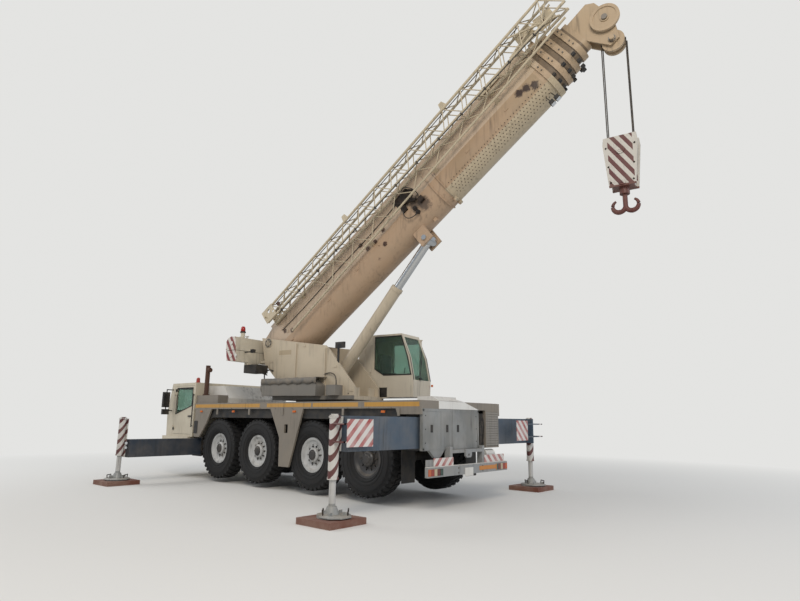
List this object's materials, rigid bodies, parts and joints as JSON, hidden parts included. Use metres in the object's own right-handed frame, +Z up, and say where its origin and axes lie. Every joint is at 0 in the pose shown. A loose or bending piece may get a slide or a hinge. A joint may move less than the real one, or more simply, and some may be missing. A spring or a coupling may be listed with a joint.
{
  "type": "mobile crane",
  "caption": "Mobile crane standing on its outriggers, with steered and driven axles, a slewing superstructure, a telescopic boom with a folded lattice jib, a hook block and a lift cylinder.",
  "frame": {"origin": "on the ground, in the middle of the whole crane's bounding box seen from above", "axes": "+X forwards, towards the carrier's cab, +Y to the carrier's left, +Z up"},
  "size_m": [13.091, 7.294, 10.5873],
  "materials": {
    "tyre_rubber": "worn matt tyre rubber",
    "dark_rim_paint": "dusty dark grey paint",
    "silver_rim_paint": "dusty silver paint",
    "chassis_paint": "satin dark chassis paint with dust",
    "mat_composite": "worn red-brown timber mat",
    "outrigger_paint": "satin slate blue-grey paint",
    "galvanised_steel": "dull galvanised steel",
    "body_paint": "satin taupe grey paint, dusty",
    "black_plastic": "matt black moulded plastic",
    "cab_paint": "semi-gloss cream paint, dusty",
    "cover_paint": "semi-gloss off-white paint, dirty",
    "tinted_glass": "clear green-tinted glass",
    "rusty_steel": "rusted steel tube",
    "lamp_plastic": "red and amber lamp lenses",
    "winch_steel": "greased steel rope on drums",
    "seat_fabric": "dark woven seat fabric",
    "polished_rod": "polished chromed rod",
    "wire_rope": "greased steel wire rope",
    "block_paint": "chipped white paint",
    "crane_paint": "satin sand paint, dusty"
  },
  "bodies": {
    "carrier": {"chassis_frame": "chassis_paint", "carrier_body": "body_paint", "black_fittings": "black_plastic", "carrier_cab_shell": "cab_paint", "carrier_cab_glass": "tinted_glass", "covers": "cover_paint", "exhaust_stack": "rusty_steel", "vehicle_lamps": "lamp_plastic", "outrigger_mats": "mat_composite"},
    "wheel_one_left": {"tyre_one_left": "tyre_rubber", "rim_one_left": "silver_rim_paint"},
    "knuckle_one_left": {"knuckle_one_left": "chassis_paint"},
    "wheel_one_right": {"tyre_one_right": "tyre_rubber", "rim_one_right": "silver_rim_paint"},
    "knuckle_one_right": {"knuckle_one_right": "chassis_paint"},
    "wheel_two_left": {"tyre_two_left": "tyre_rubber", "rim_two_left": "silver_rim_paint"},
    "knuckle_two_left": {"knuckle_two_left": "chassis_paint"},
    "wheel_two_right": {"tyre_two_right": "tyre_rubber", "rim_two_right": "silver_rim_paint"},
    "knuckle_two_right": {"knuckle_two_right": "chassis_paint"},
    "wheel_three_left": {"tyre_three_left": "tyre_rubber", "rim_three_left": "silver_rim_paint"},
    "wheel_three_right": {"tyre_three_right": "tyre_rubber", "rim_three_right": "silver_rim_paint"},
    "wheel_four_left": {"tyre_four_left": "tyre_rubber", "rim_four_left": "dark_rim_paint"},
    "knuckle_four_left": {"knuckle_four_left": "chassis_paint"},
    "wheel_four_right": {"tyre_four_right": "tyre_rubber", "rim_four_right": "dark_rim_paint"},
    "knuckle_four_right": {"knuckle_four_right": "chassis_paint"},
    "outrigger_front_left": {"outrigger_front_left": "outrigger_paint"},
    "jack_front_left": {"jack_rod_front_left": "galvanised_steel"},
    "outrigger_front_right": {"outrigger_front_right": "outrigger_paint"},
    "jack_front_right": {"jack_rod_front_right": "galvanised_steel"},
    "outrigger_rear_left": {"outrigger_rear_left": "outrigger_paint"},
    "jack_rear_left": {"jack_rod_rear_left": "galvanised_steel"},
    "outrigger_rear_right": {"outrigger_rear_right": "outrigger_paint"},
    "jack_rear_right": {"jack_rod_rear_right": "galvanised_steel"},
    "cab_door_left": {"cab_door_left": "cab_paint", "cab_door_left_glass": "tinted_glass"},
    "cab_door_right": {"cab_door_right": "cab_paint", "cab_door_right_glass": "tinted_glass"},
    "superstructure": {"turntable": "crane_paint", "hoist_winches": "winch_steel", "counterweight": "cab_paint", "crane_cab_shell": "crane_paint", "crane_cab_glass": "tinted_glass", "crane_cab_seat": "seat_fabric"},
    "crane_cab_door": {"crane_cab_door": "crane_paint"},
    "boom": {"boom_base": "crane_paint", "folding_jib": "crane_paint"},
    "boom_section_2": {"boom_section_2": "crane_paint"},
    "boom_section_3": {"boom_section_3": "crane_paint"},
    "boom_section_4": {"boom_section_4": "crane_paint"},
    "boom_section_5": {"boom_section_5": "crane_paint"},
    "hook": {"rope_falls": "wire_rope", "hook_block": "block_paint"},
    "lift_rod": {"lift_rod": "polished_rod"},
    "lift_barrel": {"lift_barrel": "crane_paint"}
  },
  "joints": [
    {"name": "steer_one_left", "type": "hinge", "parent": "carrier", "child": "knuckle_one_left", "pos_m": [3.72648, 0.8, 0.84], "axis": [0, 0, 1], "range_deg": [-28, 28]},
    {"name": "spin_one_left", "type": "hinge", "parent": "knuckle_one_left", "child": "wheel_one_left", "pos_m": [3.72648, 1.085, 0.84], "axis": [0, 1, 0], "continuous": true},
    {"name": "steer_one_right", "type": "hinge", "parent": "carrier", "child": "knuckle_one_right", "pos_m": [3.72648, -0.8, 0.84], "axis": [0, 0, 1], "range_deg": [-28, 28]},
    {"name": "spin_one_right", "type": "hinge", "parent": "knuckle_one_right", "child": "wheel_one_right", "pos_m": [3.72648, -1.085, 0.84], "axis": [0, 1, 0], "continuous": true},
    {"name": "steer_two_left", "type": "hinge", "parent": "carrier", "child": "knuckle_two_left", "pos_m": [2.07748, 0.8, 0.84], "axis": [0, 0, 1], "range_deg": [-20.16, 20.16]},
    {"name": "spin_two_left", "type": "hinge", "parent": "knuckle_two_left", "child": "wheel_two_left", "pos_m": [2.07748, 1.085, 0.84], "axis": [0, 1, 0], "continuous": true},
    {"name": "steer_two_right", "type": "hinge", "parent": "carrier", "child": "knuckle_two_right", "pos_m": [2.07748, -0.8, 0.84], "axis": [0, 0, 1], "range_deg": [-20.16, 20.16]},
    {"name": "spin_two_right", "type": "hinge", "parent": "knuckle_two_right", "child": "wheel_two_right", "pos_m": [2.07748, -1.085, 0.84], "axis": [0, 1, 0], "continuous": true},
    {"name": "spin_three_left", "type": "hinge", "parent": "carrier", "child": "wheel_three_left", "pos_m": [0.08547, 1.085, 0.84], "axis": [0, 1, 0], "continuous": true},
    {"name": "spin_three_right", "type": "hinge", "parent": "carrier", "child": "wheel_three_right", "pos_m": [0.08547, -1.085, 0.84], "axis": [0, 1, 0], "continuous": true},
    {"name": "steer_four_left", "type": "hinge", "parent": "carrier", "child": "knuckle_four_left", "pos_m": [-1.56353, 0.8, 0.84], "axis": [0, 0, 1], "range_deg": [-12.6, 12.6]},
    {"name": "spin_four_left", "type": "hinge", "parent": "knuckle_four_left", "child": "wheel_four_left", "pos_m": [-1.56353, 1.085, 0.84], "axis": [0, 1, 0], "continuous": true},
    {"name": "steer_four_right", "type": "hinge", "parent": "carrier", "child": "knuckle_four_right", "pos_m": [-1.56353, -0.8, 0.84], "axis": [0, 0, 1], "range_deg": [-12.6, 12.6]},
    {"name": "spin_four_right", "type": "hinge", "parent": "knuckle_four_right", "child": "wheel_four_right", "pos_m": [-1.56353, -1.085, 0.84], "axis": [0, 1, 0], "continuous": true},
    {"name": "beam_slide_front_left", "type": "slide", "parent": "carrier", "child": "outrigger_front_left", "axis": [0, -1, 0], "range_m": [0, 1.95]},
    {"name": "jack_slide_front_left", "type": "slide", "parent": "outrigger_front_left", "child": "jack_front_left", "axis": [0, 0, 1], "range_m": [0, 0.35]},
    {"name": "beam_slide_front_right", "type": "slide", "parent": "carrier", "child": "outrigger_front_right", "axis": [0, 1, 0], "range_m": [0, 1.95]},
    {"name": "jack_slide_front_right", "type": "slide", "parent": "outrigger_front_right", "child": "jack_front_right", "axis": [0, 0, 1], "range_m": [0, 0.35]},
    {"name": "beam_slide_rear_left", "type": "slide", "parent": "carrier", "child": "outrigger_rear_left", "axis": [0, -1, 0], "range_m": [0, 1.95]},
    {"name": "jack_slide_rear_left", "type": "slide", "parent": "outrigger_rear_left", "child": "jack_rear_left", "axis": [0, 0, 1], "range_m": [0, 0.35]},
    {"name": "beam_slide_rear_right", "type": "slide", "parent": "carrier", "child": "outrigger_rear_right", "axis": [0, 1, 0], "range_m": [0, 1.95]},
    {"name": "jack_slide_rear_right", "type": "slide", "parent": "outrigger_rear_right", "child": "jack_rear_right", "axis": [0, 0, 1], "range_m": [0, 0.35]},
    {"name": "cab_door_hinge_left", "type": "hinge", "parent": "carrier", "child": "cab_door_left", "pos_m": [6.06947, 1.316, 1.8], "axis": [0, 0, -1], "range_deg": [0, 75]},
    {"name": "cab_door_hinge_right", "type": "hinge", "parent": "carrier", "child": "cab_door_right", "pos_m": [6.06947, -1.316, 1.8], "axis": [0, 0, 1], "range_deg": [0, 75]},
    {"name": "slew", "type": "hinge", "parent": "carrier", "child": "superstructure", "pos_m": [1.13548, 0, 2.06], "axis": [0, 0, 1], "continuous": true},
    {"name": "crane_cab_door_slide", "type": "slide", "parent": "superstructure", "child": "crane_cab_door", "axis": [0.9903, 0.1392, 0], "range_m": [0, 0.6]},
    {"name": "boom_luff", "type": "hinge", "parent": "superstructure", "child": "boom", "pos_m": [2.66049, 0.21433, 3.54], "axis": [-0.1392, 0.9903, 0], "range_deg": [-39.5, 44]},
    {"name": "telescope_2", "type": "slide", "parent": "boom", "child": "boom_section_2", "axis": [-0.7803, -0.1097, 0.6157], "range_m": [0, 7.6]},
    {"name": "telescope_3", "type": "slide", "parent": "boom_section_2", "child": "boom_section_3", "axis": [-0.7803, -0.1097, 0.6157], "range_m": [0, 7.6]},
    {"name": "telescope_4", "type": "slide", "parent": "boom_section_3", "child": "boom_section_4", "axis": [-0.7803, -0.1097, 0.6157], "range_m": [0, 7.6]},
    {"name": "telescope_5", "type": "slide", "parent": "boom_section_4", "child": "boom_section_5", "axis": [-0.7803, -0.1097, 0.6157], "range_m": [0, 7.6]},
    {"name": "hook_swing", "type": "hinge", "parent": "boom_section_5", "child": "hook", "pos_m": [-6.19642, -1.03043, 9.30952], "axis": [-0.1392, 0.9903, 0], "range_deg": [-44, 39.5]},
    {"name": "lift_rod_eye", "type": "hinge", "parent": "boom", "child": "lift_rod", "pos_m": [-1.84236, -0.41851, 5.76011], "axis": [-0.1392, 0.9903, 0], "range_deg": [-9.88, 11]},
    {"name": "lift_stroke", "type": "slide", "parent": "lift_rod", "child": "lift_barrel", "axis": [0.6297, 0.0885, -0.7718], "range_m": [-1.2255, 1.365]}
  ],
  "couplings": [
    {"joint": "steer_one_right", "follows": "steer_one_left", "ratio": 1},
    {"joint": "steer_two_left", "follows": "steer_one_left", "ratio": 0.72},
    {"joint": "steer_two_right", "follows": "steer_one_left", "ratio": 0.72},
    {"joint": "steer_four_left", "follows": "steer_one_left", "ratio": -0.45},
    {"joint": "steer_four_right", "follows": "steer_one_left", "ratio": -0.45},
    {"joint": "hook_swing", "follows": "boom_luff", "ratio": -1},
    {"joint": "lift_rod_eye", "follows": "boom_luff", "ratio": 0.25},
    {"joint": "lift_stroke", "follows": "boom_luff", "m_per_rad": 1.7762}
  ]
}
